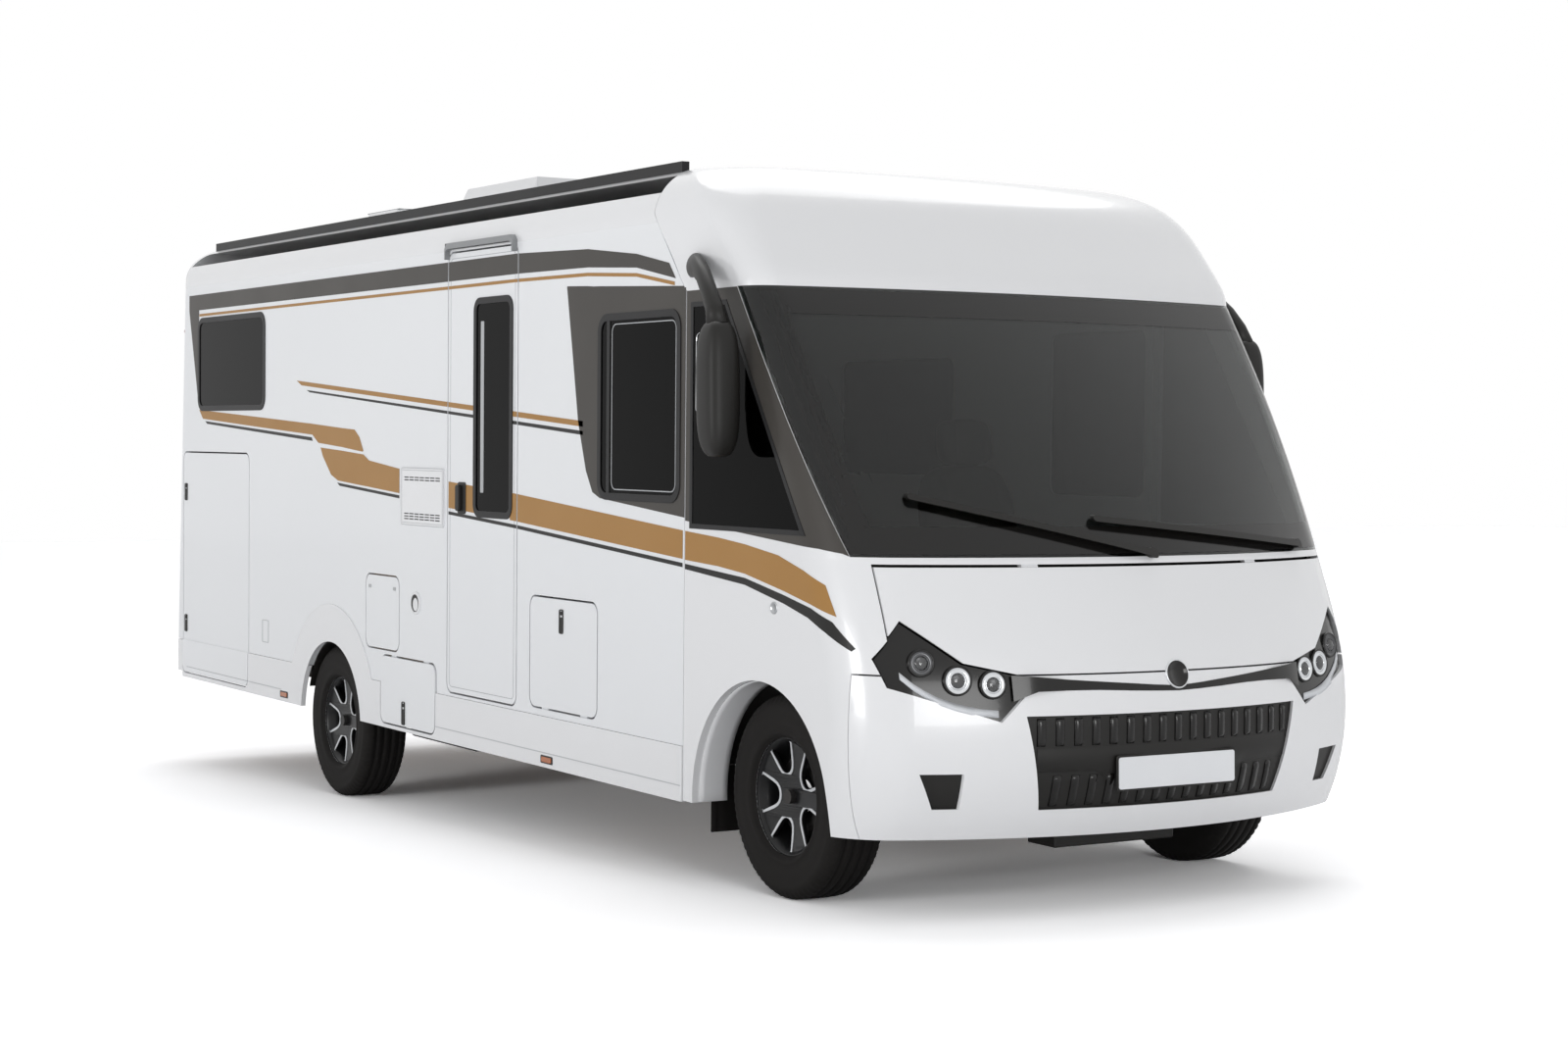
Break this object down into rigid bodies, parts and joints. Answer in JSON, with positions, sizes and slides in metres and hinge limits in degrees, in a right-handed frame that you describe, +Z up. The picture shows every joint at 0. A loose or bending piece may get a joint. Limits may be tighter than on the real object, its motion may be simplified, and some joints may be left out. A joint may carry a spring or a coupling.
{
  "type": "integrated motorhome",
  "caption": "White integrated motorhome on a low van chassis, with hollow body and cab, opening doors, hatches and bonnet, and steered wheels that roll.",
  "frame": {"origin": "on the ground at mid length and mid width", "axes": "+X forwards, +Y to the left, +Z up"},
  "size_m": [7.4011, 2.61, 3.0654],
  "materials": {
    "frame_steel": "satin",
    "white_panel": "gloss",
    "black_plastic": "satin",
    "cast_metal": "matte",
    "floor_board": "satin",
    "tinted_glass": "gloss",
    "clear_glass": "gloss",
    "lamp_clear": "gloss",
    "lamp_red": "gloss",
    "rail_metal": "satin",
    "step_metal": "satin",
    "tyre_rubber": "matte",
    "alloy": "gloss",
    "dash_plastic": "matte",
    "seat_cover": "matte"
  },
  "bodies": {
    "body": {"chassis_frame": "frame_steel", "underbody_units": "black_plastic", "engine_block": "cast_metal", "front_axle": "frame_steel", "rear_axle": "frame_steel", "wheel_liners": "black_plastic", "floor": "floor_board", "side_wall_right": "white_panel", "side_wall_left": "white_panel", "rear_wall": "white_panel", "roof": "white_panel", "side_windows": "tinted_glass", "body_skirts": "white_panel", "rear_bumper": "white_panel", "tail_lamps": "lamp_red", "roof_rails": "rail_metal", "roof_units": "white_panel", "wall_fittings": "white_panel", "entry_step": "step_metal", "front_cap": "white_panel", "cab_shell": "white_panel", "windscreen": "clear_glass", "front_bumper": "white_panel", "grille": "black_plastic", "headlights": "lamp_clear", "mirrors": "black_plastic", "wipers": "black_plastic", "dashboard": "dash_plastic", "cab_seats": "seat_cover", "furniture": "floor_board"},
    "knuckle_left": {"knuckle_left": "frame_steel"},
    "knuckle_right": {"knuckle_right": "frame_steel"},
    "wheel_front_left": {"tyre_front_left": "tyre_rubber", "rim_front_left": "alloy"},
    "wheel_front_right": {"tyre_front_right": "tyre_rubber", "rim_front_right": "alloy"},
    "wheel_rear_left": {"tyre_rear_left": "tyre_rubber", "rim_rear_left": "alloy"},
    "wheel_rear_right": {"tyre_rear_right": "tyre_rubber", "rim_rear_right": "alloy"},
    "entry_door": {"entry_door": "white_panel", "entry_door_window": "tinted_glass"},
    "garage_door_right": {"garage_door_right": "white_panel"},
    "garage_door_left": {"garage_door_left": "white_panel"},
    "locker_door": {"locker_door": "white_panel"},
    "service_flap": {"service_flap": "white_panel"},
    "lower_hatch": {"lower_hatch": "white_panel"},
    "bonnet": {"bonnet": "white_panel"}
  },
  "joints": [
    {"name": "steer_left", "type": "hinge", "parent": "body", "child": "knuckle_left", "pos_m": [2.69311, 0.758, 0.372], "axis": [0, 0, 1], "range_deg": [-33, 33]},
    {"name": "steer_right", "type": "hinge", "parent": "body", "child": "knuckle_right", "pos_m": [2.69311, -0.758, 0.372], "axis": [0, 0, 1], "range_deg": [-33, 33]},
    {"name": "spin_front_left", "type": "hinge", "parent": "knuckle_left", "child": "wheel_front_left", "pos_m": [2.69311, 0.904, 0.372], "axis": [0, 1, 0], "continuous": true},
    {"name": "spin_front_right", "type": "hinge", "parent": "knuckle_right", "child": "wheel_front_right", "pos_m": [2.69311, -0.904, 0.372], "axis": [0, 1, 0], "continuous": true},
    {"name": "spin_rear_left", "type": "hinge", "parent": "body", "child": "wheel_rear_left", "pos_m": [-1.34189, 0.99, 0.372], "axis": [0, 1, 0], "continuous": true},
    {"name": "spin_rear_right", "type": "hinge", "parent": "body", "child": "wheel_rear_right", "pos_m": [-1.34189, -0.99, 0.372], "axis": [0, 1, 0], "continuous": true},
    {"name": "open_entry_door", "type": "hinge", "parent": "body", "child": "entry_door", "pos_m": [0.77172, -1.141, 1.55209], "axis": [0.0274, 0, 0.9996], "range_deg": [0, 95]},
    {"name": "open_garage_right", "type": "hinge", "parent": "body", "child": "garage_door_right", "pos_m": [-2.48924, -1.147, 1.08726], "axis": [0.0274, 0, 0.9996], "range_deg": [0, 95]},
    {"name": "open_garage_left", "type": "hinge", "parent": "body", "child": "garage_door_left", "pos_m": [-2.48924, 1.147, 1.08726], "axis": [-0.0274, 0, -0.9996], "range_deg": [0, 95]},
    {"name": "open_locker", "type": "hinge", "parent": "body", "child": "locker_door", "pos_m": [1.18242, -1.141, 0.58647], "axis": [0.9996, 0, -0.0274], "range_deg": [0, 90]},
    {"name": "open_service_flap", "type": "hinge", "parent": "body", "child": "service_flap", "pos_m": [-0.88283, -1.141, 0.93419], "axis": [-0.0274, 0, -0.9996], "range_deg": [0, 90]},
    {"name": "open_lower_hatch", "type": "hinge", "parent": "body", "child": "lower_hatch", "pos_m": [-0.38405, -1.147, 0.71844], "axis": [-0.9996, 0, 0.0274], "range_deg": [0, 80]},
    {"name": "open_bonnet", "type": "hinge", "parent": "body", "child": "bonnet", "pos_m": [3.56436, 0, 1.20844], "axis": [0, -1, 0], "range_deg": [0, 60]}
  ],
  "couplings": [
    {"joint": "steer_right", "follows": "steer_left", "ratio": 1}
  ]
}
